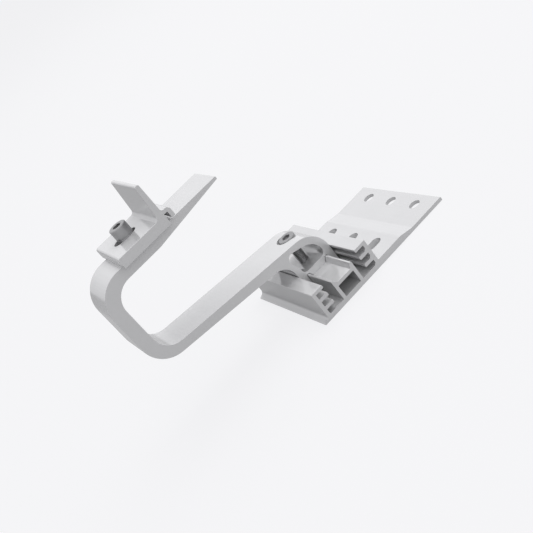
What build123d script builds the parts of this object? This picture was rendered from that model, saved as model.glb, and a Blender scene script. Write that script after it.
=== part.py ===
from build123d import *
from math import cos, radians, sin, sqrt, tan
import os

# Solar roof hook. The base rail is screwed to a rafter, the hook arm reaches out under the
# roof tile and back over it, and the clamp on top of the arm takes the module rail.
# +X points up the roof slope, +Z away from the rafter, +Y across the slope.
# The origin is on the rail's underside, at the middle of its width, under the foot screw.
# All lengths are in millimetres, all angles in degrees.

# Fits shared by the pieces
slide_gap = 0.3            # between the arm's foot and the rail it slides in
screw_d = 8.0              # thread diameter of both screws

# Base rail: a flat extrusion of one section along Y
rail_width = 100.0
floor_t = 3.8
wall_half = 27.6           # from the middle to the outside of each wall
wall_t = 3.0
mouth_half = 16.9          # from the middle to the tips of the lips and ribs
groove_count = 3
groove_h = 4.3
rib_t = 2.7
lip_t = 2.4
tip_r = 0.5
groove_chamfer = 1.6       # in the foot of each rear groove
toe_reach = 4.8            # the floor runs this far in front of the front wall
toe_root_t = 2.8
toe_tip_t = 0.6

# Square tube in the middle of the rail, with a cradle on top
tube_half = 10.45
tube_wall = 2.7
tube_h = 16.8              # from the rail's underside to the cradle's floor
tube_top_t = 2.6
cradle_rise = 3.7
cradle_lip_w = 1.6
cradle_half = 6.7

# Screw plate behind the rail
plate_reach = 95.2         # from the middle to the plate's far end
plate_thick_t = 5.2
plate_thin_t = 2.8
ramp_start = 51.3
ramp_end = 63.0

# Screw holes in the plate: a row of slots near the rail, a row of round holes at the far end
hole_d = 9.0
hole_pitch = 30.0
hole_rows = 3
slot_length = 13.4
slot_x = 39.5
far_hole_x = 84.6

# Hook arm: one flat bar section, extruded along Y
arm_w = 35.0
arm_back_x = -132.2        # outer face of the upright leg
leg_t = 10.4
arm_top_z = 122.6
upper_t = 8.8
upper_tip_x = -17.5
upper_tip_t = 2.2
taper_x = -77.0            # where the upper arm starts to get thinner
lower_top_slope = 5.8
lower_under_slope = 6.5
lower_root_t = 8.3         # height of the lower arm over the arch's centre
bend_inner_r = 15.5
bend_upper_r = 22.5
bend_lower_r = 22.0
taper_r = 20.0
tip_edge_r = 0.6

# Foot of the arm: a ring that sits in the cradle, with a leg on each side of the tube
arch_x = -4.0              # centre of the arch
throat_r = 13.0            # between the lower arm and the front of the foot
ring_wall = 5.6
ring_floor_t = 5.5
ring_front_x = -10.5       # front of the ring's hole, at its floor
ring_front_lean = 15.6
ring_top_slope = 14.0
ring_rear_angle = 12.0     # where the rear of the ring's hole leaves the arch
ring_rear_inset = 0.6
ring_corner_r = 4.0

# Foot screw: it runs through the ring and into the ring's floor
foot_screw_clear_d = 9.0
foot_spot_d = 14.6
foot_spot_depth = 2.6      # below the crown of the arch
foot_head_d = 13.0
foot_head_h = 3.3
foot_screw_l = 25.0

# Rail clamp on the upper arm, extruded along Y
clamp_w = 50.0
clamp_front_x = -104.4
clamp_rear_x = -62.5
seat_t = 7.8
seat_edge_r = 1.8
upstand_h = 34.6           # from the arm to the top of the upstand
upstand_root_t = 5.4
upstand_top_t = 3.2
upstand_root_r = 3.0
upstand_edge_r = 1.4
tail_gap_w = 2.9
tail_gap_h = 8.0
tail_t = 3.1
tail_h = 10.8              # from the arm to the tail's outer corner
tail_r = 3.2
tail_lift = 2.7            # the tail's foot stays this far above the arm
shoulder_rise = 0.4        # the shoulder meets the upstand this far above the tail's corner
shoulder_r = 1.8

# Clamp screw: through the slot in the seat and into the upper arm
clamp_screw_x = -86.5
clamp_slot_x = -87.3
clamp_slot_w = 9.0
clamp_slot_length = 18.4
cap_head_d = 13.0
cap_head_h = 8.0
clamp_screw_l = 16.0

# Hexagon sockets and edges of both screw heads
socket_af = 6.0
cap_socket_depth = 4.0
foot_socket_depth = 2.0
head_edge = 0.7
screw_end_chamfer = 0.8

# Heights that follow from the sizes above
groove_pitch = groove_h + rib_t
rail_h = floor_t + groove_count * groove_pitch - rib_t + lip_t
cradle_h = tube_h + cradle_rise
foot_half = mouth_half - slide_gap


def vertex_at(sketch, x, y):
    """The sketch's vertex nearest to a local point."""
    return min(sketch.vertices(), key=lambda v: (v.X - x) ** 2 + (v.Y - y) ** 2)


# ---------------------------------------------------------------- base rail
cradle_top_half = tube_half - cradle_lip_w
mouth_right = [
    (cradle_half, tube_h),
    (cradle_top_half, cradle_h),
    (tube_half, cradle_h),
    (tube_half, floor_t),
    (mouth_half, floor_t),
    (mouth_half, rail_h),
]
mouth_left = [(-x, z) for x, z in reversed(mouth_right)]
groove_end = wall_half - wall_t

with BuildPart() as base_rail:
    with BuildSketch(Plane.XZ) as rail_section:
        with BuildLine():
            Polyline(
                (-wall_half - toe_reach, 0),
                (plate_reach, 0),
                (plate_reach, plate_thin_t),
                (ramp_end, plate_thin_t),
                (ramp_start, plate_thick_t),
                (wall_half, plate_thick_t),
                (wall_half, rail_h),
                (-wall_half, rail_h),
                (-wall_half, toe_root_t),
                (-wall_half - toe_reach, toe_tip_t),
                close=True,
            )
        make_face()
        with BuildLine():
            Polyline(*mouth_right, *mouth_left, close=True)
        make_face(mode=Mode.SUBTRACT)
        for i in range(groove_count):
            groove_z = floor_t + i * groove_pitch
            with BuildLine():
                Polyline(
                    (-mouth_half, groove_z),
                    (-groove_end, groove_z),
                    (-groove_end, groove_z + groove_h),
                    (-mouth_half, groove_z + groove_h),
                    close=True,
                )
            make_face(mode=Mode.SUBTRACT)
            with BuildLine():
                Polyline(
                    (mouth_half, groove_z),
                    (groove_end - groove_chamfer, groove_z),
                    (groove_end, groove_z + groove_chamfer),
                    (groove_end, groove_z + groove_h),
                    (mouth_half, groove_z + groove_h),
                    close=True,
                )
            make_face(mode=Mode.SUBTRACT)
        tips = [v for v in rail_section.vertices() if abs(abs(v.X) - mouth_half) < 0.001]
        fillet([v for v in tips if v.Y > floor_t + 0.001], tip_r)
        cavity_h = tube_h - tube_top_t - floor_t
        with Locations((0, floor_t + cavity_h / 2)):
            Rectangle(2 * (tube_half - tube_wall), cavity_h, mode=Mode.SUBTRACT)
    extrude(amount=rail_width / 2, both=True)
    with BuildSketch(Plane.XY):
        with Locations((far_hole_x, 0)):
            with GridLocations(0, hole_pitch, 1, hole_rows):
                Circle(hole_d / 2)
        with Locations((slot_x, 0)):
            with GridLocations(0, hole_pitch, 1, hole_rows):
                SlotOverall(slot_length, hole_d)
    extrude(amount=plate_thick_t, mode=Mode.SUBTRACT)
base_rail.part.label = "base_rail"

# ---------------------------------------------------------------- hook arm
arch_z = rail_h
arch_r = foot_half - arch_x
top_rise = tan(radians(lower_top_slope))
under_rise = tan(radians(lower_under_slope))
lower_top_mid = arch_z + arch_r / cos(radians(lower_top_slope)) + top_rise * arch_x
lower_under_mid = lower_top_mid - top_rise * arch_x - lower_root_t + under_rise * arch_x


def lower_top(x):
    """Height of the lower arm's top face."""
    return lower_top_mid - top_rise * x


def lower_under(x):
    """Height of the lower arm's underside."""
    return lower_under_mid - under_rise * x


arm_front_x = arm_back_x + leg_t
arch_start = (
    arch_x + arch_r * sin(radians(lower_top_slope)),
    arch_z + arch_r * cos(radians(lower_top_slope)),
)
arch_middle = (arch_x + arch_r * sin(radians(45)), arch_z + arch_r * cos(radians(45)))
nose_end = groove_end - groove_chamfer - slide_gap
nose_top = floor_t + groove_h - slide_gap
leg_foot = floor_t + slide_gap
leg_inner = tube_half + slide_gap
plug_top_half = cradle_top_half - slide_gap
plug_half = cradle_half - slide_gap
shoulder_z = cradle_h + slide_gap
foot_right = [
    (plug_half, tube_h),
    (plug_top_half, shoulder_z),
    (leg_inner, shoulder_z),
    (leg_inner, leg_foot),
    (nose_end, leg_foot),
    (nose_end, nose_top),
    (foot_half, nose_top),
]
foot_left = [(-x, z) for x, z in reversed(foot_right)]

ring_r = arch_r - ring_wall
ring_floor_z = tube_h + ring_floor_t
ring_top_start = (
    arch_x + ring_r * sin(radians(ring_top_slope)),
    arch_z + ring_r * cos(radians(ring_top_slope)),
)
ring_rear = (
    arch_x + ring_r * cos(radians(ring_rear_angle)),
    arch_z + ring_r * sin(radians(ring_rear_angle)),
)
ring_middle = (arch_x + ring_r * sin(radians(45)), arch_z + ring_r * cos(radians(45)))
ring_rear_foot = (ring_rear[0] - ring_rear_inset, ring_floor_z)
front_lean = tan(radians(ring_front_lean))
ring_slope = tan(radians(ring_top_slope))
top_left_rise = ring_top_start[1] + ring_slope * (ring_top_start[0] - ring_front_x) - ring_floor_z
ring_corner_z = ring_floor_z + top_left_rise / (1 - ring_slope * front_lean)
ring_corner = (ring_front_x - front_lean * (ring_corner_z - ring_floor_z), ring_corner_z)
foot_seat_z = arch_z + sqrt(arch_r**2 - arch_x**2) - foot_spot_depth

with BuildPart() as hook_arm:
    with BuildSketch(Plane.XZ) as arm_section:
        with BuildLine():
            Polyline(
                arch_start,
                (arm_front_x, lower_top(arm_front_x)),
                (arm_front_x, arm_top_z - upper_t),
                (taper_x, arm_top_z - upper_t),
                (upper_tip_x, arm_top_z - upper_tip_t),
                (upper_tip_x, arm_top_z),
                (arm_back_x, arm_top_z),
                (arm_back_x, lower_under(arm_back_x)),
                (-foot_half, lower_under(-foot_half)),
                *foot_left,
                *foot_right,
                (foot_half, arch_z),
            )
            ThreePointArc((foot_half, arch_z), arch_middle, arch_start)
        make_face()
        fillet(vertex_at(arm_section, arm_front_x, lower_top(arm_front_x)), bend_inner_r)
        fillet(vertex_at(arm_section, arm_front_x, arm_top_z - upper_t), bend_inner_r)
        fillet(vertex_at(arm_section, taper_x, arm_top_z - upper_t), taper_r)
        fillet(vertex_at(arm_section, upper_tip_x, arm_top_z - upper_tip_t), tip_edge_r)
        fillet(vertex_at(arm_section, upper_tip_x, arm_top_z), tip_edge_r)
        fillet(vertex_at(arm_section, arm_back_x, arm_top_z), bend_upper_r)
        fillet(vertex_at(arm_section, arm_back_x, lower_under(arm_back_x)), bend_lower_r)
        fillet(vertex_at(arm_section, -foot_half, lower_under(-foot_half)), throat_r)
        with BuildSketch(mode=Mode.SUBTRACT) as ring_hole:
            with BuildLine():
                Polyline(
                    ring_rear,
                    ring_rear_foot,
                    (ring_front_x, ring_floor_z),
                    ring_corner,
                    ring_top_start,
                )
                ThreePointArc(ring_top_start, ring_middle, ring_rear)
            make_face()
            fillet(vertex_at(ring_hole, *ring_rear_foot), ring_corner_r)
            fillet(vertex_at(ring_hole, ring_front_x, ring_floor_z), ring_corner_r)
            fillet(vertex_at(ring_hole, *ring_corner), ring_corner_r)
    extrude(amount=arm_w / 2, both=True)
    with BuildSketch(Plane.XY.offset(foot_seat_z)):
        Circle(foot_spot_d / 2)
    extrude(amount=arch_r, mode=Mode.SUBTRACT)
    with BuildSketch(Plane.XY.offset(foot_seat_z)):
        Circle(foot_screw_clear_d / 2)
    extrude(amount=ring_floor_z - foot_seat_z, mode=Mode.SUBTRACT)
    with BuildSketch(Plane.XY.offset(tube_h)):
        Circle(screw_d / 2)
    extrude(amount=ring_floor_t, mode=Mode.SUBTRACT)
    with BuildSketch(Plane.XY.offset(arm_top_z)):
        with Locations((clamp_screw_x, 0)):
            Circle(screw_d / 2)
    extrude(amount=-upper_t, mode=Mode.SUBTRACT)
hook_arm.part.label = "hook_arm"

# ---------------------------------------------------------------- rail clamp
seat_z = arm_top_z + seat_t
upstand_z = arm_top_z + upstand_h
tail_inner_x = clamp_rear_x + tail_gap_w
tail_outer_x = tail_inner_x + tail_t
tail_corner_z = arm_top_z + tail_h
shoulder_top_z = tail_corner_z + shoulder_rise
upstand_root = (clamp_rear_x - upstand_root_t, seat_z)
upstand_front = (clamp_rear_x - upstand_top_t, upstand_z)

with BuildPart() as rail_clamp:
    with BuildSketch(Plane.XZ) as clamp_section:
        with BuildLine():
            Polyline(
                (clamp_front_x, arm_top_z),
                (clamp_front_x, seat_z),
                upstand_root,
                upstand_front,
                (clamp_rear_x, upstand_z),
                (clamp_rear_x, shoulder_top_z),
                (tail_outer_x, tail_corner_z),
                (tail_outer_x, arm_top_z + tail_lift),
                (tail_inner_x, arm_top_z + tail_lift),
                (tail_inner_x, arm_top_z + tail_gap_h),
                (clamp_rear_x, arm_top_z + tail_gap_h),
                (clamp_rear_x, arm_top_z),
                close=True,
            )
        make_face()
        fillet(vertex_at(clamp_section, clamp_front_x, seat_z), seat_edge_r)
        fillet(vertex_at(clamp_section, *upstand_root), upstand_root_r)
        fillet(vertex_at(clamp_section, *upstand_front), upstand_edge_r)
        fillet(vertex_at(clamp_section, clamp_rear_x, upstand_z), upstand_edge_r)
        fillet(vertex_at(clamp_section, clamp_rear_x, shoulder_top_z), shoulder_r)
        fillet(vertex_at(clamp_section, tail_outer_x, tail_corner_z), tail_r)
    extrude(amount=clamp_w / 2, both=True)
    with BuildSketch(Plane.XY.offset(seat_z)):
        with Locations((clamp_slot_x, 0)):
            SlotOverall(clamp_slot_length, clamp_slot_w)
    extrude(amount=-seat_t, mode=Mode.SUBTRACT)
rail_clamp.part.label = "rail_clamp"


# ---------------------------------------------------------------- screws
def socket_screw(x, seat, head_d, head_h, length, socket_depth):
    """A socket head screw that stands on its seat, with its shank pointing down."""
    with BuildPart() as screw:
        with BuildSketch(Plane.XY.offset(seat)):
            with Locations((x, 0)):
                Circle(head_d / 2)
        extrude(amount=head_h)
        chamfer(screw.edges().sort_by(Axis.Z)[-1], head_edge)
        with BuildSketch(Plane.XY.offset(seat)):
            with Locations((x, 0)):
                Circle(screw_d / 2)
        extrude(amount=-length)
        chamfer(screw.edges().sort_by(Axis.Z)[0], screw_end_chamfer)
        with BuildSketch(Plane.XY.offset(seat + head_h)):
            with Locations((x, 0)):
                RegularPolygon(socket_af / 2, 6, major_radius=False)
        extrude(amount=-socket_depth, mode=Mode.SUBTRACT)
    return screw


foot_screw = socket_screw(
    0, foot_seat_z, foot_head_d, foot_head_h, foot_screw_l, foot_socket_depth
)
foot_screw.part.label = "foot_screw"

clamp_screw = socket_screw(
    clamp_screw_x, seat_z, cap_head_d, cap_head_h, clamp_screw_l, cap_socket_depth
)
clamp_screw.part.label = "clamp_screw"

# ---------------------------------------------------------------- files
os.makedirs("parts", exist_ok=True)
export_step(base_rail.part, "parts/base_rail.step")
export_step(hook_arm.part, "parts/hook_arm.step")
export_step(rail_clamp.part, "parts/rail_clamp.step")
export_step(foot_screw.part, "parts/foot_screw.step")
export_step(clamp_screw.part, "parts/clamp_screw.step")
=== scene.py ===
from math import cos, pi, radians, sin, tau

import bmesh
import bpy
from bpy.props import FloatProperty, FloatVectorProperty, IntProperty, PointerProperty
from mathutils import Matrix, Vector


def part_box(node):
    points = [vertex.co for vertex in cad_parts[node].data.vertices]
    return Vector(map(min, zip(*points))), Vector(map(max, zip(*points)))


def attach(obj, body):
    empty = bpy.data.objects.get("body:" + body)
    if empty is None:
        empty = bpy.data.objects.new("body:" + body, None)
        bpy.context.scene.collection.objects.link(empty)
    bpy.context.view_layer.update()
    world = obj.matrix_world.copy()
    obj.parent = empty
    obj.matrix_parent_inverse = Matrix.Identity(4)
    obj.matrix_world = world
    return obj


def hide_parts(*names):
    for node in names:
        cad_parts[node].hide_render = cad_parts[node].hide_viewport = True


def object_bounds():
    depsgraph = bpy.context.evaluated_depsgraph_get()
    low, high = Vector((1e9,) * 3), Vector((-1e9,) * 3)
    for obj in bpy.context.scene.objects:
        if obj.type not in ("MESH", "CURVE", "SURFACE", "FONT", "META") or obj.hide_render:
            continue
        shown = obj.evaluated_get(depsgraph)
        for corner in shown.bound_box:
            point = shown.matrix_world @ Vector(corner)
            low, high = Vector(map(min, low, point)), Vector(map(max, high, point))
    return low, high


bl_info = {
    "name": "Solar Roof Hook",
    "version": (1, 0, 0),
    "blender": (4, 5, 0),
    "location": "3D View > Sidebar > Roof Hook",
    "description": "Dresses the packed roof hook: base rail, hook arm, rail clamp and both screws",
    "category": "Object",
}

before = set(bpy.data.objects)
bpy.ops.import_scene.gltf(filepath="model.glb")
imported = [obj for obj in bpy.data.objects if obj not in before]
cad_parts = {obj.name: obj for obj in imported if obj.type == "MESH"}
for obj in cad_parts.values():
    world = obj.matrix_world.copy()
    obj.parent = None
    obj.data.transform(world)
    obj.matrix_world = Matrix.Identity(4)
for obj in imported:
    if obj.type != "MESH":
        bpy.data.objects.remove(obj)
CAD_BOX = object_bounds()
MM = 0.001

# Height of the arm's upper run, on which the clamp stands, in millimetres
ARM_TOP = 122.6

# How finely the bars and screws are made
CORNER_STEPS = 14  # steps round a corner of a section
HOLE_SIDES = 64  # faces round a hole
HEAD_STEPS = 6  # steps over the rounded rim of a screw's head
SECTION_MERGE = 0.000002  # points of a new bar that lie closer are one
DRILLED_MERGE = 0.000003  # the same once its holes are drilled
FLAT_ANGLE = 0.2  # degrees up to which two faces of a bar are one flat
BAR_EDGE_ANGLE = 28  # degrees from which an edge of a bar is softened
SCREW_EDGE_ANGLE = 38  # degrees from which an edge of a screw stays sharp
FLAT_TO_AXIS = (0.8, 0.95)  # how far a face looks along an axis before it counts as square to it

# The floor. It glows less in the metal than in plain sight, so that pale faces don't turn white
FLOOR_GAP = 0.0001
FLOOR_LIT = (0.28, 0.28, 0.285, 1.0)  # colour of the light that it throws back on the hook
FLOOR_SHADE = (0.07, 0.07, 0.07, 1.0)  # part of its colour that takes the hook's shadow
FLOOR_MIRRORED, FLOOR_SEEN = 0.55, 0.90

# The surroundings: where the soft light is strongest, and how the backdrop shows in the metal
LIGHT_LEAN = (0.45, -0.20, 0.87)
LIGHT_REACH = (-0.2, 1.0)  # how far a ray looks that way, from the weakest light to the full one
LIGHT_WEAKEST = 0.15
BACKDROP_HEIGHTS = (0.30, 0.75)  # how far a ray climbs where the mirrored backdrop changes
BACKDROP_LEVELS = (1.02, 0.88)

# Each lamp's direction from the hook, distance and size
KEY_LAMP = ((0.50, 0.22, 0.82), 2.6, 2.6)
FILL_LAMP = ((0.10, -0.92, 0.36), 2.6, 2.0)

# The camera's place, and where its right side and its top point
CAMERA_PLACE = (-0.17058, -0.54645, 0.30367)
CAMERA_RIGHT = (0.6761, -0.4581, -0.5771)
CAMERA_UP = (0.6990, 0.1511, 0.6990)


# ---------------------------------------------------------------- settings
class HookFinishSettings(bpy.types.PropertyGroup):
    """Colours and finish of the aluminium and the steel."""

    aluminium_colour: FloatVectorProperty(
        name="Aluminium Colour", subtype="COLOR", size=3, min=0, max=1, default=(0.64, 0.64, 0.645),
        description="Colour of the extruded aluminium",
    )
    worn_colour: FloatVectorProperty(
        name="Worn Edge Colour", subtype="COLOR", size=3, min=0, max=1, default=(0.76, 0.76, 0.765),
        description="Colour where handling has brightened an edge",
    )
    steel_colour: FloatVectorProperty(
        name="Steel Colour", subtype="COLOR", size=3, min=0, max=1, default=(0.40, 0.40, 0.405),
        description="Colour of both screws",
    )
    aluminium_metallic: FloatProperty(
        name="Aluminium Metallic", subtype="FACTOR", min=0, max=1, default=0.44,
        description="How strongly the satin aluminium mirrors what is around it",
    )
    aluminium_roughness: FloatProperty(
        name="Aluminium Roughness", subtype="FACTOR", min=0, max=1, default=0.12,
        description="Roughness of the extruded faces",
    )
    steel_roughness: FloatProperty(
        name="Steel Roughness", subtype="FACTOR", min=0, max=1, default=0.36,
        description="Roughness of both screws",
    )
    line_depth: FloatProperty(
        name="Die Line Depth", subtype="FACTOR", min=0, max=1, default=0.025,
        description="Strength of the fine lines that the extrusion die leaves along each bar",
    )
    edge_wear: FloatProperty(
        name="Edge Wear", subtype="FACTOR", min=0, max=1, default=0.3,
        description="How far the edges are brightened by handling",
    )


class HookEdgeSettings(bpy.types.PropertyGroup):
    """Softness of the edges of each extruded piece."""

    rail_edge: FloatProperty(
        name="Rail Edge", subtype="DISTANCE", unit="LENGTH",
        min=0, default=0.22 * MM, precision=5,
        description="Rounding of the base rail's edges",
    )
    arm_edge: FloatProperty(
        name="Arm Edge", subtype="DISTANCE", unit="LENGTH",
        min=0, default=0.35 * MM, precision=5,
        description="Rounding of the hook arm's edges",
    )
    clamp_edge: FloatProperty(
        name="Clamp Edge", subtype="DISTANCE", unit="LENGTH",
        min=0, default=0.3 * MM, precision=5,
        description="Rounding of the rail clamp's edges",
    )


class HookScrewSettings(bpy.types.PropertyGroup):
    """Sizes of both socket head screws."""

    shank_diameter: FloatProperty(
        name="Thread Diameter", subtype="DISTANCE", unit="LENGTH",
        min=0, default=8 * MM, precision=5,
        description="Outer diameter of the thread",
    )
    thread_pitch: FloatProperty(
        name="Thread Pitch", subtype="DISTANCE", unit="LENGTH",
        min=0.1 * MM, default=1.25 * MM, precision=5,
        description="Distance from one turn of the thread to the next",
    )
    thread_depth: FloatProperty(
        name="Thread Depth", subtype="DISTANCE", unit="LENGTH",
        min=0, default=0.6 * MM, precision=5,
        description="Height of the thread over the screw's core",
    )
    socket_width: FloatProperty(
        name="Socket Width", subtype="DISTANCE", unit="LENGTH",
        min=0, default=6 * MM, precision=5,
        description="Width of the hexagon socket across its flats",
    )
    foot_head_height: FloatProperty(
        name="Foot Head Height", subtype="DISTANCE", unit="LENGTH",
        min=0, default=3.3 * MM, precision=5,
        description="Height of the low head of the screw in the arm's foot",
    )
    foot_socket_depth: FloatProperty(
        name="Foot Socket Depth", subtype="DISTANCE", unit="LENGTH",
        min=0, default=2 * MM, precision=5,
        description="Depth of the socket in the low head",
    )
    clamp_head_height: FloatProperty(
        name="Clamp Head Height", subtype="DISTANCE", unit="LENGTH",
        min=0, default=8 * MM, precision=5,
        description="Height of the head of the screw in the clamp",
    )
    washer_thickness: FloatProperty(
        name="Washer Thickness", subtype="DISTANCE", unit="LENGTH",
        min=0, default=1.25 * MM, precision=5,
        description="Thickness of the spring washer under the clamp screw's head",
    )
    clamp_socket_depth: FloatProperty(
        name="Clamp Socket Depth", subtype="DISTANCE", unit="LENGTH",
        min=0, default=4 * MM, precision=5,
        description="Depth of the socket in the clamp screw's head",
    )
    head_edge: FloatProperty(
        name="Head Edge", subtype="DISTANCE", unit="LENGTH",
        min=0, default=0.7 * MM, precision=5,
        description="Rounding of the head's upper rim",
    )
    segments: IntProperty(
        name="Segments", min=12, max=192, default=96, step=6,
        description="Faces round a screw's head, a multiple of six",
    )


class HookStageSettings(bpy.types.PropertyGroup):
    """Floor, lamps and camera."""

    background_colour: FloatVectorProperty(
        name="Background", subtype="COLOR", size=3, min=0, max=1, default=(0.913, 0.913, 0.930),
        description="Colour of the floor and of what lies behind it",
    )
    floor_size: FloatProperty(
        name="Floor Size", subtype="DISTANCE", unit="LENGTH", min=1, default=60.0,
        description="Side of the square floor",
    )
    key_power: FloatProperty(
        name="Key Power", unit="POWER", min=0, default=54.0,
        description="Power of the large lamp above and behind the hook",
    )
    fill_power: FloatProperty(
        name="Fill Power", unit="POWER", min=0, default=15.0,
        description="Power of the soft lamp that faces the cut ends",
    )
    ambient: FloatProperty(
        name="Ambient", min=0, default=1.2,
        description="Strength of the soft light from all round, weakest from below",
    )
    lens: FloatProperty(
        name="Lens", unit="CAMERA", min=1, default=58.21,
        description="Focal length of the camera",
    )


# ---------------------------------------------------------------- shader helpers
def socket(tree, name, kind, direction="INPUT", default=None):
    """Adds a named socket to a node group."""
    made = tree.interface.new_socket(name=name, in_out=direction, socket_type=kind)
    if default is not None:
        made.default_value = default


class Wiring:
    """Adds nodes to a tree and links them in one line each."""

    def __init__(self, tree):
        self.tree = tree

    def add(self, kind, inputs=None, **settings):
        node = self.tree.nodes.new(kind)
        for key, value in settings.items():
            setattr(node, key, value)
        for key, value in (inputs or {}).items():
            if isinstance(value, bpy.types.NodeSocket):
                self.tree.links.new(value, node.inputs[key])
            else:
                node.inputs[key].default_value = value
        return node

    def maths(self, operation, a, b=0.0, clamp=False):
        made = self.add("ShaderNodeMath", {0: a, 1: b}, operation=operation, use_clamp=clamp)
        return made.outputs[0]

    def spread(self, value, low, high, to_low=0.0, to_high=1.0):
        made = self.add("ShaderNodeMapRange", {0: value, 1: low, 2: high, 3: to_low, 4: to_high})
        return made.outputs[0]

    def noise(self, vector, scale, detail, **inputs):
        inputs = {"Vector": vector, "Scale": scale, "Detail": detail, **inputs}
        return self.add("ShaderNodeTexNoise", inputs).outputs[0]

    def effect(self, name, inputs):
        """Places the shared shader group of that name and gives its outputs."""
        return self.add("ShaderNodeGroup", inputs, node_tree=shared(name)).outputs


def new_group(name, kind="ShaderNodeTree"):
    """Makes an empty node group: its tree, its wiring, what it is given and what it gives."""
    tree = bpy.data.node_groups.new(name, kind)
    given = tree.nodes.new("NodeGroupInput").outputs
    result = tree.nodes.new("NodeGroupOutput").inputs
    return tree, Wiring(tree), given, result


def die_lines_group():
    """Fine lines along Y on the extruded faces, fading out on the cut ends."""
    tree, wire, given, result = new_group("Die Lines")
    socket(tree, "Vector", "NodeSocketVector")
    socket(tree, "Fineness", "NodeSocketFloat", default=700.0)
    socket(tree, "Lines", "NodeSocketFloat", "OUTPUT")
    socket(tree, "Cut End", "NodeSocketFloat", "OUTPUT")
    split = wire.add("ShaderNodeSeparateXYZ", {0: given["Vector"]})
    fine = given["Fineness"]
    stretched = wire.maths("MULTIPLY", fine, 0.012)
    across = wire.maths("MULTIPLY", split.outputs["X"], fine)
    along = wire.maths("MULTIPLY", split.outputs["Y"], stretched)
    up = wire.maths("MULTIPLY", split.outputs["Z"], fine)
    place = wire.add("ShaderNodeCombineXYZ", {0: across, 1: along, 2: up}).outputs[0]
    noise = wire.noise(place, 1.0, 3.0, Roughness=0.6)
    normal = wire.add("ShaderNodeNewGeometry").outputs["True Normal"]
    facing = wire.maths("ABSOLUTE", wire.add("ShaderNodeSeparateXYZ", {0: normal}).outputs["Y"])
    end = wire.spread(facing, *FLAT_TO_AXIS)
    lines = wire.maths("MULTIPLY", noise, wire.maths("SUBTRACT", 1.0, end))
    tree.links.new(lines, result["Lines"])
    tree.links.new(end, result["Cut End"])
    return tree


def saw_marks_group():
    """Shallow arcs that a saw blade leaves on a cut end."""
    tree, wire, given, result = new_group("Saw Marks")
    socket(tree, "Vector", "NodeSocketVector")
    socket(tree, "Cut End", "NodeSocketFloat")
    socket(tree, "Fineness", "NodeSocketFloat", default=260.0)
    socket(tree, "Marks", "NodeSocketFloat", "OUTPUT")
    above_blade = (0.0, 0.0, 0.35)
    shifted = wire.add("ShaderNodeMapping", {0: given["Vector"], 1: above_blade})
    arcs = wire.add(
        "ShaderNodeTexWave",
        {"Vector": shifted.outputs[0], "Scale": given["Fineness"],
         "Distortion": 1.5, "Detail": 2.0},
        wave_type="RINGS", rings_direction="Y",
    )
    marks = wire.maths("MULTIPLY", arcs.outputs[1], given["Cut End"])
    tree.links.new(marks, result["Marks"])
    return tree


def edge_wear_group():
    """Mask of the rounded edges, broken up by noise. A piece marks its edges with edge_strip."""
    tree, wire, given, result = new_group("Edge Wear")
    socket(tree, "Vector", "NodeSocketVector")
    socket(tree, "Amount", "NodeSocketFloat")
    socket(tree, "Wear", "NodeSocketFloat", "OUTPUT")
    edge = wire.add("ShaderNodeAttribute", attribute_name="edge_strip").outputs["Fac"]
    patchy = wire.spread(wire.noise(given["Vector"], 180.0, 3.0), 0.35, 0.65, 0.5, 1.0)
    broken = wire.maths("MULTIPLY", edge, patchy)
    wear = wire.maths("MULTIPLY", broken, given["Amount"], clamp=True)
    tree.links.new(wear, result["Wear"])
    return tree


def handling_group():
    """Soft smudges and a fine grain that vary the gloss."""
    tree, wire, given, result = new_group("Handling Marks")
    socket(tree, "Vector", "NodeSocketVector")
    socket(tree, "Smudge Scale", "NodeSocketFloat", default=28.0)
    socket(tree, "Grain Scale", "NodeSocketFloat", default=2600.0)
    socket(tree, "Smudges", "NodeSocketFloat", "OUTPUT")
    socket(tree, "Grain", "NodeSocketFloat", "OUTPUT")
    smudge = wire.noise(given["Vector"], given["Smudge Scale"], 5.0, Distortion=0.4)
    grain = wire.noise(given["Vector"], given["Grain Scale"], 2.0)
    tree.links.new(wire.spread(smudge, 0.35, 0.68), result["Smudges"])
    tree.links.new(grain, result["Grain"])
    return tree


def turning_group():
    """Concentric marks round a screw's axis, on its flat faces."""
    tree, wire, given, result = new_group("Turning Marks")
    socket(tree, "Vector", "NodeSocketVector")
    socket(tree, "Spacing", "NodeSocketFloat", default=0.0004)
    socket(tree, "Rings", "NodeSocketFloat", "OUTPUT")
    split = wire.add("ShaderNodeSeparateXYZ", {0: given["Vector"]})
    flat = wire.add("ShaderNodeCombineXYZ", {0: split.outputs["X"], 1: split.outputs["Y"]})
    length = wire.add("ShaderNodeVectorMath", {0: flat.outputs[0]}, operation="LENGTH")
    radius = length.outputs["Value"]
    turns = wire.maths("DIVIDE", radius, given["Spacing"])
    wave = wire.maths("SINE", wire.maths("MULTIPLY", turns, tau))
    normal = wire.add("ShaderNodeNewGeometry").outputs["True Normal"]
    up = wire.add("ShaderNodeSeparateXYZ", {0: normal}).outputs["Z"]
    level = wire.spread(up, *FLAT_TO_AXIS)
    rings = wire.maths("MULTIPLY", wire.spread(wave, -1.0, 1.0), level)
    tree.links.new(rings, result["Rings"])
    return tree


def shared(name):
    """The shared node group of that name, built on first use."""
    return bpy.data.node_groups.get(name) or SHARED_GROUPS[name]()


def new_material(name):
    """An empty node material with its wiring and Principled shader."""
    material = bpy.data.materials.new(name)
    material.use_nodes = True
    tree = material.node_tree
    tree.nodes.clear()
    wire = Wiring(tree)
    shader = wire.add("ShaderNodeBsdfPrincipled")
    wire.add("ShaderNodeOutputMaterial", {"Surface": shader.outputs[0]})
    return material, wire, shader


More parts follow.
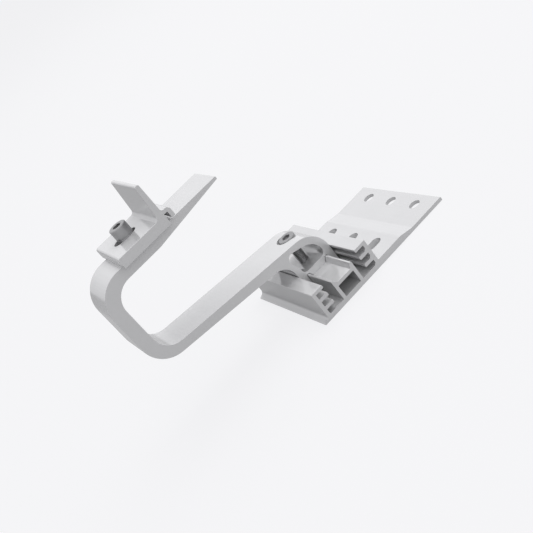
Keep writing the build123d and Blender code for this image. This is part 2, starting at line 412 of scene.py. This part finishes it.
def aluminium(name, seed):
    """Satin extruded aluminium with die lines, sawn ends, bright edges and smudges."""
    finish = bpy.context.scene.hook_finish
    material, wire, shader = new_material(name)
    link = wire.tree.links.new
    here = wire.add("ShaderNodeTexCoord").outputs["Object"]
    own_part = (seed * 0.37, 0.0, seed * 0.19)  # of the pattern, so that no two pieces match
    moved = wire.add("ShaderNodeMapping", {0: here, 1: own_part}).outputs[0]
    lines = wire.effect("Die Lines", {"Vector": moved})
    marks = wire.effect("Saw Marks", {"Vector": moved, "Cut End": lines["Cut End"]})
    wear = wire.effect("Edge Wear", {"Vector": moved, "Amount": finish.edge_wear})
    handling = wire.effect("Handling Marks", {"Vector": moved})

    contrast = 0.5 * finish.line_depth
    tone = wire.maths(
        "ADD",
        wire.spread(lines["Lines"], 0.3, 0.7, -contrast, contrast),
        wire.spread(handling["Smudges"], 0.0, 1.0, 0.985, 1.015),
    )
    ground = wire.add("ShaderNodeVectorMath", {0: finish.aluminium_colour[:]}, operation="SCALE")
    link(tone, ground.inputs["Scale"])
    colour = wire.add(
        "ShaderNodeMix",
        {0: wear["Wear"], 6: ground.outputs[0], 7: (*finish.worn_colour, 1.0)},
        data_type="RGBA",
    )
    link(colour.outputs[2], shader.inputs["Base Color"])

    rough = finish.aluminium_roughness
    gloss = wire.maths(
        "ADD",
        wire.spread(handling["Smudges"], 0.0, 1.0, rough - 0.02, rough + 0.03),
        wire.maths("MULTIPLY", lines["Cut End"], 0.10),
    )
    link(gloss, shader.inputs["Roughness"])
    shader.inputs["Metallic"].default_value = finish.aluminium_metallic
    shader.inputs["Specular IOR Level"].default_value = 0.15

    relief = wire.maths(
        "ADD",
        wire.maths("MULTIPLY", lines["Lines"], 0.5),
        wire.maths(
            "ADD",
            wire.maths("MULTIPLY", marks["Marks"], 0.6),
            wire.maths("MULTIPLY", handling["Grain"], 0.05),
        ),
    )
    bump = wire.add("ShaderNodeBump", {"Strength": 0.02, "Distance": 0.00003, "Height": relief})
    link(bump.outputs[0], shader.inputs["Normal"])
    return material


def screw_steel(name, centre_x):
    """Dull stainless steel with turning marks round the screw's own axis."""
    finish = bpy.context.scene.hook_finish
    material, wire, shader = new_material(name)
    link = wire.tree.links.new
    here = wire.add("ShaderNodeTexCoord").outputs["Object"]
    centred = wire.add("ShaderNodeMapping", {0: here, 1: (-centre_x, 0.0, 0.0)}).outputs[0]
    rings = wire.effect("Turning Marks", {"Vector": centred})
    handling = wire.effect("Handling Marks", {"Vector": centred, "Smudge Scale": 160.0})

    tone = wire.spread(handling["Smudges"], 0.0, 1.0, 0.92, 1.08)
    ground = wire.add("ShaderNodeVectorMath", {0: finish.steel_colour[:]}, operation="SCALE")
    link(tone, ground.inputs["Scale"])
    link(ground.outputs[0], shader.inputs["Base Color"])
    rough = finish.steel_roughness
    gloss = wire.spread(handling["Smudges"], 0.0, 1.0, rough - 0.06, rough + 0.06)
    link(gloss, shader.inputs["Roughness"])
    shader.inputs["Metallic"].default_value = 0.85
    relief = wire.maths(
        "ADD",
        wire.maths("MULTIPLY", rings["Rings"], 0.7),
        wire.maths("MULTIPLY", handling["Grain"], 0.3),
    )
    bump = wire.add("ShaderNodeBump", {"Strength": 0.15, "Distance": 0.0001, "Height": relief})
    link(bump.outputs[0], shader.inputs["Normal"])
    return material


# ---------------------------------------------------------------- piece helpers
def add_object(name, mesh):
    """Links a mesh into the scene as an object at the origin."""
    made = bpy.data.objects.new(name, mesh)
    bpy.context.scene.collection.objects.link(made)
    return made


def bake(obj):
    """Turns an object's modifiers into plain mesh."""
    depsgraph = bpy.context.evaluated_depsgraph_get()
    mesh = bpy.data.meshes.new_from_object(
        obj.evaluated_get(depsgraph), preserve_all_data_layers=True, depsgraph=depsgraph
    )
    mesh.name = obj.name
    obj.modifiers.clear()
    obj.data = mesh


def smooth_by_angle(mesh, degrees):
    """Smooth shading, with edges sharper than the angle kept sharp."""
    mesh.polygons.foreach_set("use_smooth", [True] * len(mesh.polygons))
    mesh.set_sharp_from_angle(angle=radians(degrees))


def extruded_section_group():
    """Geometry nodes for a bar: a section with rounded corners, pushed along Y."""
    tree, wire, given, result = new_group("Extruded Section", "GeometryNodeTree")
    socket(tree, "Section", "NodeSocketGeometry")
    socket(tree, "Width", "NodeSocketFloat")
    socket(tree, "Corner Steps", "NodeSocketInt")
    socket(tree, "Bar", "NodeSocketGeometry", "OUTPUT")
    corner = wire.add("GeometryNodeInputNamedAttribute", {"Name": "corner"}, data_type="FLOAT")
    outline = wire.add("GeometryNodeMeshToCurve", {0: given["Section"]})
    rounded = wire.add(
        "GeometryNodeFilletCurve",
        {"Curve": outline.outputs[0], "Count": given["Corner Steps"], "Radius": corner.outputs[0],
         "Limit Radius": False},
        mode="POLY",
    )
    face = wire.add("GeometryNodeFillCurve", {"Curve": rounded.outputs[0]}, mode="TRIANGLES")
    length = wire.add("ShaderNodeCombineXYZ", {2: given["Width"]})
    pushed = wire.add(
        "GeometryNodeExtrudeMesh",
        {"Mesh": face.outputs[0], "Offset": length.outputs[0], "Offset Scale": 1.0,
         "Individual": False},
        mode="FACES",
    )
    back = wire.add("GeometryNodeFlipFaces", {0: face.outputs[0]})
    both = wire.add("GeometryNodeJoinGeometry")
    tree.links.new(pushed.outputs["Mesh"], both.inputs[0])
    tree.links.new(back.outputs[0], both.inputs[0])
    closed = wire.add(
        "GeometryNodeMergeByDistance",
        {"Geometry": both.outputs[0], "Distance": SECTION_MERGE},
    )
    half = wire.maths("MULTIPLY", given["Width"], -0.5)
    centred = wire.add("ShaderNodeCombineXYZ", {2: half}).outputs[0]
    middle = wire.add("GeometryNodeTransform", {0: closed.outputs[0], "Translation": centred})
    upright = (pi / 2, 0.0, 0.0)
    stood = wire.add("GeometryNodeTransform", {0: middle.outputs[0], "Rotation": upright})
    tree.links.new(stood.outputs[0], result[0])
    return tree


ROW_SIZES = {
    "Place": "NodeSocketVector",
    "Count": "NodeSocketInt",
    "Pitch": "NodeSocketFloat",
    "Diameter": "NodeSocketFloat",
    "Length": "NodeSocketFloat",
    "Depth": "NodeSocketFloat",
}


def holes(place, diameter, depth, length=None, count=1, pitch=0.0):
    """Sizes of a row of round holes or slots, in millimetres from the middle of its upper end."""
    return {
        "Place": tuple(v * MM for v in place), "Count": count, "Pitch": pitch * MM,
        "Diameter": diameter * MM, "Length": (length or diameter) * MM, "Depth": depth * MM,
    }


def drilled_row_group():
    """Geometry nodes for the cutters of a row of round holes or slots along Y."""
    tree, wire, given, result = new_group("Drilled Row", "GeometryNodeTree")
    for size, kind in ROW_SIZES.items():
        socket(tree, size, kind)
    socket(tree, "Cutters", "NodeSocketGeometry", "OUTPUT")
    radius = wire.maths("MULTIPLY", given["Diameter"], 0.5)
    drill = wire.add(
        "GeometryNodeMeshCylinder",
        {"Vertices": HOLE_SIDES, "Radius": radius, "Depth": given["Depth"]},
    )
    straight = wire.maths("SUBTRACT", given["Length"], given["Diameter"])
    reach = wire.maths("MULTIPLY", straight, 0.5)
    ends = wire.add("GeometryNodeJoinGeometry")
    for side in (1.0, -1.0):
        offset = wire.add("ShaderNodeCombineXYZ", {0: wire.maths("MULTIPLY", reach, side)})
        end = wire.add(
            "GeometryNodeTransform",
            {0: drill.outputs["Mesh"], "Translation": offset.outputs[0]},
        )
        tree.links.new(end.outputs[0], ends.inputs[0])
    slot = wire.add("GeometryNodeConvexHull", {0: ends.outputs[0]})
    gaps = wire.maths("SUBTRACT", given["Count"], 1.0)
    first_y = wire.maths("MULTIPLY", wire.maths("MULTIPLY", gaps, given["Pitch"]), -0.5)
    down = wire.maths("MULTIPLY", given["Depth"], -0.5)
    shift = wire.add("ShaderNodeCombineXYZ", {1: first_y, 2: down}).outputs[0]
    start = wire.add("ShaderNodeVectorMath", {0: given["Place"], 1: shift}, operation="ADD")
    step = wire.add("ShaderNodeCombineXYZ", {1: given["Pitch"]})
    row = wire.add(
        "GeometryNodeMeshLine",
        {"Count": given["Count"], "Start Location": start.outputs[0], "Offset": step.outputs[0]},
    )
    placed = wire.add(
        "GeometryNodeInstanceOnPoints",
        {"Points": row.outputs[0], "Instance": slot.outputs[0]},
    )
    real = wire.add("GeometryNodeRealizeInstances", {0: placed.outputs[0]})
    tree.links.new(real.outputs[0], result[0])
    return tree


def finish_tree(tree, wire, made, material, result):
    """Ends a piece's geometry nodes with plain geometry in its material."""
    real = wire.add("GeometryNodeRealizeInstances", {0: made})
    dressed = wire.add("GeometryNodeSetMaterial", {0: real.outputs[0], "Material": material})
    tree.links.new(dressed.outputs[0], result[0])


def bar_tree(name, rows):
    """Geometry nodes for one drilled bar, with an input for each size of each row of holes."""
    tree, wire, given, result = new_group(name, "GeometryNodeTree")
    socket(tree, "Section", "NodeSocketGeometry")
    socket(tree, "Width", "NodeSocketFloat")
    socket(tree, "Corner Steps", "NodeSocketInt")
    socket(tree, "Material", "NodeSocketMaterial")
    for row in rows:
        for size, kind in ROW_SIZES.items():
            socket(tree, f"{row} {size}", kind)
    socket(tree, "Geometry", "NodeSocketGeometry", "OUTPUT")
    bar = wire.add("GeometryNodeGroup", node_tree=shared("Extruded Section"))
    for key in ("Section", "Width", "Corner Steps"):
        tree.links.new(given[key], bar.inputs[key])
    drilled = bar.outputs[0]
    for row in rows:
        cutters = wire.add("GeometryNodeGroup", node_tree=shared("Drilled Row"))
        for size in ROW_SIZES:
            tree.links.new(given[f"{row} {size}"], cutters.inputs[size])
        cut = wire.add("GeometryNodeMeshBoolean", operation="DIFFERENCE", solver="EXACT")
        tree.links.new(drilled, cut.inputs[0])
        tree.links.new(cutters.outputs[0], cut.inputs[1])
        drilled = cut.outputs[0]
    finish_tree(tree, wire, drilled, given["Material"], result)
    return tree


def section_mesh(name, loops):
    """The outlines of a section as edges. A point is (x, height, corner radius) in millimetres."""
    points, edges = [], []
    for loop in loops:
        first = len(points)
        points += loop
        edges += [(first + i, first + (i + 1) % len(loop)) for i in range(len(loop))]
    mesh = bpy.data.meshes.new(name)
    mesh.from_pydata([(x * MM, z * MM, 0.0) for x, z, r in points], edges, [])
    corner = mesh.attributes.new("corner", "FLOAT", "POINT")
    corner.data.foreach_set("value", [r * MM for x, z, r in points])
    return mesh


def one_material(mesh, material):
    """Gives every face of a mesh the same material, in its only slot."""
    mesh.materials.clear()
    mesh.materials.append(material)
    mesh.polygons.foreach_set("material_index", [0] * len(mesh.polygons))


def mark_edges(mesh, material):
    """Turns the second material slot, which the soft edges hold, into the attribute edge_strip."""
    marks = [float(face.material_index) for face in mesh.polygons]
    strip = mesh.attributes.new("edge_strip", "FLOAT", "FACE")
    strip.data.foreach_set("value", marks)
    one_material(mesh, material)


def drilled_bar(node, name, loops, rows, edge, seed):
    """An extruded, drilled bar of satin aluminium with softened edges, in the CAD node's place."""
    low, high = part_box(node)
    piece = add_object(name, section_mesh(name, loops))
    material = aluminium(name + "_finish", seed)
    nodes = piece.modifiers.new("bar", "NODES")
    nodes.node_group = bar_tree(name.replace("_", " ").title(), rows)
    values = {"Width": high.y - low.y, "Corner Steps": CORNER_STEPS, "Material": material}
    for row, sizes in rows.items():
        values.update({f"{row} {size}": value for size, value in sizes.items()})
    set_inputs(nodes, values)
    bake(piece)
    mesh = piece.data
    shape = bmesh.new()
    shape.from_mesh(mesh)
    bmesh.ops.remove_doubles(shape, verts=shape.verts, dist=DRILLED_MERGE)
    bmesh.ops.dissolve_limit(
        shape, angle_limit=radians(FLAT_ANGLE), verts=shape.verts, edges=shape.edges
    )
    bmesh.ops.recalc_face_normals(shape, faces=shape.faces)
    shape.to_mesh(mesh)
    shape.free()
    one_material(mesh, material)
    mesh.materials.append(material)  # for the bevel's new faces, which mark_edges looks for
    smooth_by_angle(mesh, BAR_EDGE_ANGLE)
    bevel = piece.modifiers.new("edges", "BEVEL")
    bevel.width = edge
    bevel.segments = 2
    bevel.limit_method = "ANGLE"
    bevel.angle_limit = radians(BAR_EDGE_ANGLE)
    bevel.material = 1
    weighted = piece.modifiers.new("flats", "WEIGHTED_NORMAL")
    weighted.weight = 100
    weighted.keep_sharp = False
    bake(piece)
    mark_edges(piece.data, material)
    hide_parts(node)
    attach(piece, "root")


def mirrored(points):
    """The same points on the other side of the middle, in the opposite order."""
    return [(-x, z, r) for x, z, r in reversed(points)]


def arc(centre, radius, start, end, steps):
    """Points on an arc, by angle from +X in degrees, with no rounding of their own."""
    angles = [radians(start + (end - start) * i / steps) for i in range(steps + 1)]
    return [(centre[0] + radius * cos(a), centre[1] + radius * sin(a), 0.0) for a in angles]


def screw_thread_group():
    """Geometry nodes for a screw's thread: a ridge on a spiral round the core."""
    tree, wire, given, result = new_group("Screw Thread", "GeometryNodeTree")
    for size in ("Outer Radius", "Pitch", "Depth", "Length"):
        socket(tree, size, "NodeSocketFloat")
    socket(tree, "Foot", "NodeSocketVector")
    socket(tree, "Material", "NodeSocketMaterial")
    socket(tree, "Geometry", "NodeSocketGeometry", "OUTPUT")
    root = wire.maths("SUBTRACT", given["Outer Radius"], given["Depth"])
    turns = wire.maths("DIVIDE", given["Length"], given["Pitch"])
    path = wire.add(
        "GeometryNodeCurveSpiral",
        {"Resolution": 36, "Rotations": turns, "Start Radius": root, "End Radius": root,
         "Height": given["Length"]},
    )
    upright = wire.add("GeometryNodeSetCurveNormal", {"Curve": path.outputs[0]}, mode="Z_UP")
    ridge = wire.add(
        "GeometryNodeCurvePrimitiveCircle", {"Resolution": 4, "Radius": given["Depth"]}
    )
    solid = wire.add(
        "GeometryNodeCurveToMesh",
        {"Curve": upright.outputs[0], "Profile Curve": ridge.outputs[0], "Fill Caps": True},
    )
    placed = wire.add(
        "GeometryNodeTransform", {"Geometry": solid.outputs[0], "Translation": given["Foot"]}
    )
    finish_tree(tree, wire, placed.outputs[0], given["Material"], result)
    return tree


# Node groups that more than one material or piece uses
SHARED_GROUPS = {
    "Die Lines": die_lines_group,
    "Saw Marks": saw_marks_group,
    "Edge Wear": edge_wear_group,
    "Handling Marks": handling_group,
    "Turning Marks": turning_group,
    "Extruded Section": extruded_section_group,
    "Drilled Row": drilled_row_group,
    "Screw Thread": screw_thread_group,
}


def set_inputs(modifier, values):
    """Sets a geometry nodes modifier's inputs by their sockets' identifiers."""
    names = {
        item.name: item.identifier
        for item in modifier.node_group.interface.items_tree
        if item.item_type == "SOCKET" and item.in_out == "INPUT"
    }
    for name, value in values.items():
        modifier[names[name]] = value


def lathe(shape, rings, segments, centre):
    """Closes a stack of rings round an upright axis. A ring is (height, radius at an angle)."""
    rows = []
    for height, radius_at in rings:
        row = []
        for i in range(segments):
            angle = tau * i / segments
            reach = radius_at(angle)
            x, y = centre.x + reach * cos(angle), centre.y + reach * sin(angle)
            row.append(shape.verts.new((x, y, height)))
        rows.append(row)
    for lower, upper in zip(rows, rows[1:]):
        for i in range(segments):
            j = (i + 1) % segments
            shape.faces.new((lower[i], lower[j], upper[j], upper[i]))
    shape.faces.new(list(reversed(rows[0])))
    shape.faces.new(rows[-1])


def socket_screw(node, name, head_height, socket_depth, washer=0.0):
    """A screw with a hexagon socket, a rounded rim and a cut thread, on a washer if it has one."""
    sizes = bpy.context.scene.hook_screws
    low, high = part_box(node)
    centre = (low + high) / 2
    top, seat, foot = high.z + washer, high.z - head_height, low.z
    head = (high.x - low.x) / 2
    core = sizes.shank_diameter / 2 - sizes.thread_depth
    edge = sizes.head_edge
    hexagon = 0.5 * sizes.socket_width  # from the axis to a flat of the socket
    rim = hexagon / cos(pi / 6) + 0.06 * MM  # just outside the socket's corners
    point = 0.8 * MM  # chamfer at the screw's end
    under, bend = 0.2 * MM, 0.06 * MM  # rounding of the head's lower edge, and its middle
    soft, inset = 0.15 * MM, 0.05 * MM  # rounding of the washer, and how far it stands back
    margin = 0.2 * MM  # from each end of the thread to the end of its core

    def circle(radius):
        return lambda angle: radius

    def flats(angle):
        return hexagon / cos(angle % (pi / 3) - pi / 6)

    rings = [
        (foot, circle(core - point)),
        (foot + point, circle(core)),
        (seat, circle(core)),
        (seat, circle(head - under)),
    ]
    if washer:
        rings += [
            (seat + soft, circle(head - inset)),
            (seat + washer - soft, circle(head - inset)),
            (seat + washer, circle(head - inset - under)),
        ]
    rings += [
        (seat + washer + bend, circle(head - bend)),
        (seat + washer + under, circle(head)),
    ]
    for step in range(HEAD_STEPS + 1):
        turn = 0.5 * pi * step / HEAD_STEPS
        rings.append((top - edge + edge * sin(turn), circle(head - edge + edge * cos(turn))))
    rings += [
        (top, circle(rim + 0.08 * MM)),
        (top - 0.02 * MM, circle(rim)),
        (top - 0.15 * MM, flats),
        (top - socket_depth, flats),
        (top - socket_depth, circle(hexagon * 0.8)),
        (top - socket_depth - 0.5 * MM, circle(hexagon * 0.3)),
    ]
    material = screw_steel(name + "_finish", centre.x)
    shape = bmesh.new()
    lathe(shape, rings, sizes.segments, centre)
    bmesh.ops.recalc_face_normals(shape, faces=shape.faces)
    mesh = bpy.data.meshes.new(name)
    shape.to_mesh(mesh)
    shape.free()
    mesh.materials.append(material)

    thread = add_object(name + "_thread", bpy.data.meshes.new(name + "_thread"))
    nodes = thread.modifiers.new("thread", "NODES")
    nodes.node_group = shared("Screw Thread")
    set_inputs(nodes, {
        "Outer Radius": sizes.shank_diameter / 2 - 0.02 * MM,
        "Pitch": sizes.thread_pitch,
        "Depth": sizes.thread_depth,
        "Length": seat - foot - 2 * sizes.thread_depth - 2 * margin,
        "Foot": (centre.x, centre.y, foot + sizes.thread_depth + margin),
        "Material": material,
    })
    bake(thread)
    shape = bmesh.new()
    shape.from_mesh(mesh)
    shape.from_mesh(thread.data)
    bmesh.ops.recalc_face_normals(shape, faces=shape.faces)
    shape.to_mesh(mesh)
    shape.free()
    one_material(mesh, material)
    bpy.data.objects.remove(thread)
    smooth_by_angle(mesh, SCREW_EDGE_ANGLE)
    piece = add_object(name, mesh)
    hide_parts(node)
    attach(piece, "root")


# ---------------------------------------------------------------- operators
class HOOK_OT_base_rail(bpy.types.Operator):
    """Make the base rail: grooved walls, the tube with its cradle, and the drilled screw plate"""

    bl_idname = "roof_hook.base_rail"
    bl_label = "Base Rail"

    def execute(self, context):
        side, wall, mouth = 27.6, 24.6, 16.9  # outer face, groove bottom and groove lip
        height, deck, thin, thick = 24.5, 3.8, 2.8, 5.2  # wall, inner floor, plate at both ends
        opening, lip, slant = 4.3, 2.7, 1.6  # groove height, lip thickness, sloped groove corner
        tip, root = 0.5, 0.35  # roundings of lips and groove bottoms
        toe, far_end = -32.4, 95.2
        front, rear = [], []
        for floor in (deck, 10.8, 17.8):
            top = floor + opening
            front += [
                (-wall, floor, root), (-wall, top, root),
                (-mouth, top, tip), (-mouth, top + lip, tip),
            ]
            rear += [
                (mouth, floor, tip), (wall - slant, floor, 0.3), (wall, floor + slant, 0.3),
                (wall, top, root), (mouth, top, tip),
            ]
        front = front[:-1] + [(-mouth, height, tip)]
        rear = rear[1:] + [(mouth, height, tip)]
        cradle = [(10.45, deck, 0.4), (10.45, 20.5, 0.6), (8.85, 20.5, 0.6), (6.7, 16.8, 0.6)]
        outline = [
            (toe, 0.0, 0.15), (far_end, 0.0, 0.2), (far_end, thin, 0.5),
            (63.0, thin, 6.0), (51.3, thick, 6.0), (side, thick, 0.8), (side, height, 0.5),
            *reversed(rear), *cradle, *mirrored(cradle), *front,
            (-side, height, 0.5), (-side, thin, 3.5), (toe, 0.6, 0.3),
        ]
        tube = [(-7.75, deck, 0.5), (-7.75, 14.2, 0.5)]
        cavity = [*tube, *mirrored(tube)]
        rows = {
            "Far Holes": holes((84.6, 0, 6), diameter=9, depth=8, count=3, pitch=30),
            "Near Slots": holes((39.5, 0, 7), diameter=9, length=13.4, depth=9, count=3, pitch=30),
        }
        edge = context.scene.hook_edges.rail_edge
        loops = [outline, cavity]
        drilled_bar("base_rail", "grooved_rail", loops, rows, edge, 1)
        return {"FINISHED"}


class HOOK_OT_hook_arm(bpy.types.Operator):
    """Make the hook arm: a bent flat bar with a tapered end and a ring foot"""

    bl_idname = "roof_hook.hook_arm"
    bl_label = "Hook Arm"

    def execute(self, context):
        outer_leg, nose, inner_leg = 16.6, 22.7, 10.75  # half widths of the foot at these faces
        nose_low, nose_high = 4.1, 7.8
        inside, outside = -121.8, -132.2  # both faces of the upright run
        end, under = -17.5, 113.8  # the tip, and the upper run's lower face
        spot_face = 42.108  # the flat under the foot screw's head
        leg = [
            (outer_leg, nose_high, 0.4), (nose, nose_high, 0.5), (nose, nose_low, 0.5),
            (inner_leg, nose_low, 0.5), (inner_leg, 20.8, 0.3), (8.55, 20.8, 0.4), (6.4, 16.8, 0.5),
        ]
        outline = [
            (outer_leg, 43.114, 20.6), (inside, 57.172, 15.5), (inside, under, 15.5),
            (-77.0, under, 20.0), (end, 120.4, 0.6), (end, ARM_TOP, 0.6),
            (outside, ARM_TOP, 22.5), (outside, 51.513, 22.0), (-outer_leg, 38.342, 13.0),
            *((-x, z, r) for x, z, r in leg), *reversed(leg),
        ]
        ring = [
            (10.07, 22.3, 4.0), (-10.5, 22.3, 4.0), (-16.286, 43.022, 4.0),
            *arc(centre=(-4.0, 24.5), radius=15.0, start=76.0, end=12.0, steps=16),
        ]
        rows = {
            "Foot Spot Face": holes((0, 0, 60), diameter=14.2, length=16.4, depth=60 - spot_face),
            "Foot Clearance": holes((0, 0, 50), diameter=9, depth=20),
            "Foot Thread": holes((0, 0, 26), diameter=8, depth=10),
            "Clamp Thread": holes((-86.5, 0, 124), diameter=8, depth=12),
        }
        edge = context.scene.hook_edges.arm_edge
        drilled_bar("hook_arm", "bent_arm", [outline, ring], rows, edge, 2)
        return {"FINISHED"}


class HOOK_OT_rail_clamp(bpy.types.Operator):
    """Make the rail clamp: a slotted seat, an upstand and a hooked tail"""

    bl_idname = "roof_hook.rail_clamp"
    bl_label = "Rail Clamp"

    def execute(self, context):
        front, back, tail = -104.4, -62.5, -56.5
        seat, top, pocket = ARM_TOP + 7.8, ARM_TOP + 34.6, ARM_TOP + 8.0
        hook_x, hook_z = -59.6, ARM_TOP + 2.7  # the hooked tail's inner face and lower end
        outline = [
            (front, ARM_TOP, 0.3), (front, seat, 1.8), (-67.9, seat, 3.0),
            (-65.7, top, 1.4), (back, top, 1.4), (back, ARM_TOP + 11.2, 1.8),
            (tail, ARM_TOP + 10.8, 3.2), (tail, hook_z, 0.4), (hook_x, hook_z, 0.4),
            (hook_x, pocket, 0.3), (back, pocket, 0.3), (back, ARM_TOP, 0.3),
        ]
        rows = {"Seat Slot": holes((-87.3, 0, ARM_TOP + 9), diameter=9, length=18.4, depth=12)}
        edge = context.scene.hook_edges.clamp_edge
        drilled_bar("rail_clamp", "module_rail_clamp", [outline], rows, edge, 3)
        return {"FINISHED"}


class HOOK_OT_screws(bpy.types.Operator):
    """Make both socket head screws with their threads"""

    bl_idname = "roof_hook.screws"
    bl_label = "Socket Screws"

    def execute(self, context):
        sizes = context.scene.hook_screws
        socket_screw(
            "foot_screw", "low_head_screw", sizes.foot_head_height, sizes.foot_socket_depth
        )
        socket_screw(
            "clamp_screw", "cap_head_screw", sizes.clamp_head_height, sizes.clamp_socket_depth,
            sizes.washer_thickness,
        )
        return {"FINISHED"}


class HOOK_OT_stage(bpy.types.Operator):
    """Set the floor, the lamps, the background and the camera"""

    bl_idname = "roof_hook.stage"
    bl_label = "Stage"

    def execute(self, context):
        settings = context.scene.hook_stage
        self.make_floor(settings)
        self.make_world(context.scene, settings)
        self.make_lamps(context.scene, settings)
        self.make_camera(context.scene, settings)
        context.scene.view_settings.view_transform = "Standard"
        return {"FINISHED"}

    def mix_seen(self, wire, light, shown, output):
        """One shader for rays that carry light, the other for rays that see the background."""
        path = wire.add("ShaderNodeLightPath").outputs
        seen = wire.maths("MAXIMUM", path["Is Camera Ray"], path["Is Glossy Ray"])
        seen = wire.maths("MAXIMUM", seen, path["Is Transmission Ray"])
        inputs = {0: seen, 1: light.outputs[0], 2: shown.outputs[0]}
        mix = wire.add("ShaderNodeMixShader", inputs)
        wire.add(output, {"Surface": mix.outputs[0]})

    def make_floor(self, settings):
        half = settings.floor_size / 2
        mesh = bpy.data.meshes.new("floor")
        level = CAD_BOX[0].z - FLOOR_GAP
        corners = ((-half, -half), (half, -half), (half, half), (-half, half))
        mesh.from_pydata([(x, y, level) for x, y in corners], [], [(0, 1, 2, 3)])
        material = bpy.data.materials.new("pale_floor")
        material.use_nodes = True
        material.node_tree.nodes.clear()
        wire = Wiring(material.node_tree)
        lit = wire.add("ShaderNodeBsdfDiffuse", {"Color": FLOOR_LIT})
        shade = wire.add("ShaderNodeBsdfDiffuse", {"Color": FLOOR_SHADE})
        direct = wire.add("ShaderNodeLightPath").outputs["Is Camera Ray"]
        bright = wire.spread(direct, 0.0, 1.0, FLOOR_MIRRORED, FLOOR_SEEN)
        colour = (*settings.background_colour, 1.0)
        glow = wire.add("ShaderNodeEmission", {"Color": colour, "Strength": bright})
        shown = wire.add("ShaderNodeAddShader", {0: shade.outputs[0], 1: glow.outputs[0]})
        self.mix_seen(wire, lit, shown, "ShaderNodeOutputMaterial")
        mesh.materials.append(material)
        add_object("floor", mesh)

    def make_world(self, scene, settings):
        world = bpy.data.worlds.new("soft_room")
        world.use_nodes = True
        world.node_tree.nodes.clear()
        wire = Wiring(world.node_tree)
        colour = (*settings.background_colour, 1.0)
        direction = wire.add("ShaderNodeTexCoord").outputs["Generated"]
        lean = wire.add(
            "ShaderNodeVectorMath", {0: direction, 1: LIGHT_LEAN}, operation="DOT_PRODUCT"
        ).outputs["Value"]
        weakest = LIGHT_WEAKEST * settings.ambient
        soft = wire.spread(lean, *LIGHT_REACH, weakest, settings.ambient)
        light = wire.add("ShaderNodeBackground", {"Color": colour, "Strength": soft})
        climb = wire.add("ShaderNodeSeparateXYZ", {0: direction}).outputs["Z"]
        mirror_level = wire.spread(climb, *BACKDROP_HEIGHTS, *BACKDROP_LEVELS)
        direct = wire.add("ShaderNodeLightPath").outputs["Is Camera Ray"]
        level = wire.maths("MAXIMUM", direct, mirror_level)
        backdrop = wire.add("ShaderNodeBackground", {"Color": colour, "Strength": level})
        self.mix_seen(wire, light, backdrop, "ShaderNodeOutputWorld")
        scene.world = world

    def make_lamps(self, scene, settings):
        middle = (CAD_BOX[0] + CAD_BOX[1]) / 2
        for name, (direction, distance, size), power in (
            ("key", KEY_LAMP, settings.key_power),
            ("fill", FILL_LAMP, settings.fill_power),
        ):
            towards = Vector(direction)
            lamp = bpy.data.lights.new(name, "AREA")
            lamp.shape = "DISK"
            lamp.size = size
            lamp.energy = power
            made = bpy.data.objects.new(name, lamp)
            made.location = middle + towards.normalized() * distance
            made.rotation_mode = "QUATERNION"
            made.rotation_quaternion = towards.to_track_quat("Z", "Y")
            made.visible_glossy = False
            scene.collection.objects.link(made)

    def make_camera(self, scene, settings):
        data = bpy.data.cameras.new("camera")
        data.sensor_width = 36.0
        data.lens = settings.lens
        data.clip_start, data.clip_end = 0.01, 200.0
        right = Vector(CAMERA_RIGHT)
        back = right.cross(Vector(CAMERA_UP)).normalized()
        right.normalize()
        up = back.cross(right)
        camera = bpy.data.objects.new("camera", data)
        turn = Matrix((right, up, back)).transposed().to_4x4()
        camera.matrix_world = Matrix.Translation(CAMERA_PLACE) @ turn
        scene.collection.objects.link(camera)
        scene.camera = camera


class HOOK_PT_panel(bpy.types.Panel):
    """Lists the roof hook's settings and operators"""

    bl_idname = "HOOK_PT_panel"
    bl_label = "Solar Roof Hook"
    bl_space_type = "VIEW_3D"
    bl_region_type = "UI"
    bl_category = "Roof Hook"

    def draw(self, context):
        layout = self.layout
        scene = context.scene
        for title, group in (
            ("Finish", scene.hook_finish), ("Edges", scene.hook_edges),
            ("Screws", scene.hook_screws), ("Stage", scene.hook_stage),
        ):
            box = layout.box()
            box.label(text=title)
            for key in group.__annotations__:
                box.prop(group, key)
        for operator in OPERATORS:
            layout.operator(operator.bl_idname)


SETTINGS = {
    "hook_finish": HookFinishSettings,
    "hook_edges": HookEdgeSettings,
    "hook_screws": HookScrewSettings,
    "hook_stage": HookStageSettings,
}
OPERATORS = (HOOK_OT_base_rail, HOOK_OT_hook_arm, HOOK_OT_rail_clamp, HOOK_OT_screws, HOOK_OT_stage)


def register():
    for name, group in SETTINGS.items():
        bpy.utils.register_class(group)
        setattr(bpy.types.Scene, name, PointerProperty(type=group))
    for kind in (*OPERATORS, HOOK_PT_panel):
        bpy.utils.register_class(kind)


def unregister():
    for kind in reversed((*OPERATORS, HOOK_PT_panel)):
        bpy.utils.unregister_class(kind)
    for name, group in reversed(SETTINGS.items()):
        delattr(bpy.types.Scene, name)
        bpy.utils.unregister_class(group)


def main():
    register()
    bpy.ops.roof_hook.base_rail()
    bpy.ops.roof_hook.hook_arm()
    bpy.ops.roof_hook.rail_clamp()
    bpy.ops.roof_hook.screws()
    bpy.ops.roof_hook.stage()


if __name__ == "__main__":
    main()
